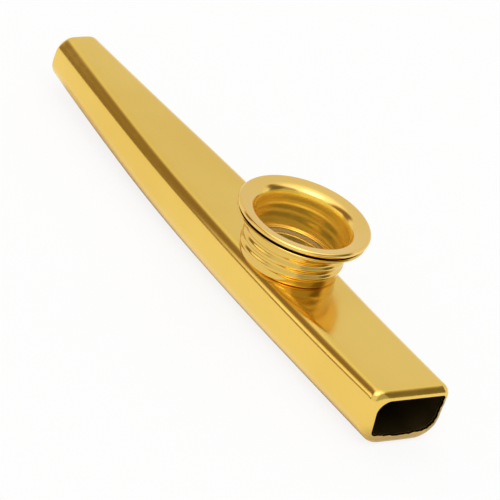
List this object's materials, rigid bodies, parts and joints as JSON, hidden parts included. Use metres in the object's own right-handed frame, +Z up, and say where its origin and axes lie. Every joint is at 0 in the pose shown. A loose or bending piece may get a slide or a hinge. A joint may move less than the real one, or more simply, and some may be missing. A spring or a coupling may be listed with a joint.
{
  "type": "kazoo",
  "caption": "Metal kazoo: a flat-sided tapered tube with a turned-in mouth end and a round tail, and a turret with a threaded socket, a screw ring and a buzzing diaphragm.",
  "frame": {"origin": "middle of the tube's length and width, on the flat underside that it rests on", "axes": "+X along the tube from the tail to the mouth end, +Z up along the turret's axis, +Y across the tube"},
  "size_m": [0.12, 0.0266, 0.0223],
  "materials": {
    "tube_metal": "gold anodised, glossy, fine drawing marks along the tube",
    "socket_metal": "gold anodised, bright, rolled thread",
    "ring_metal": "gold anodised, bright, turned marks on the flange",
    "film": "clear thin film, slightly wrinkled",
    "film_ring": "natural translucent plastic"
  },
  "bodies": {
    "tube": {"body_tube": "tube_metal", "turret_socket": "socket_metal"},
    "diaphragm": {"diaphragm_film": "film", "diaphragm_ring": "film_ring"},
    "ring": {"screw_ring": "ring_metal"}
  },
  "joints": [
    {"name": "diaphragm_lift", "type": "slide", "parent": "tube", "child": "diaphragm", "axis": [0, 0, 1], "range_m": [0, 0.00855]},
    {"name": "ring_turn", "type": "hinge", "parent": "diaphragm", "child": "ring", "pos_m": [0.018, 0, 0.01185], "axis": [0, 0, 1], "range_deg": [0, 1620]}
  ],
  "couplings": [
    {"joint": "diaphragm_lift", "follows": "ring_turn", "m_per_rad": 0.00030239}
  ]
}
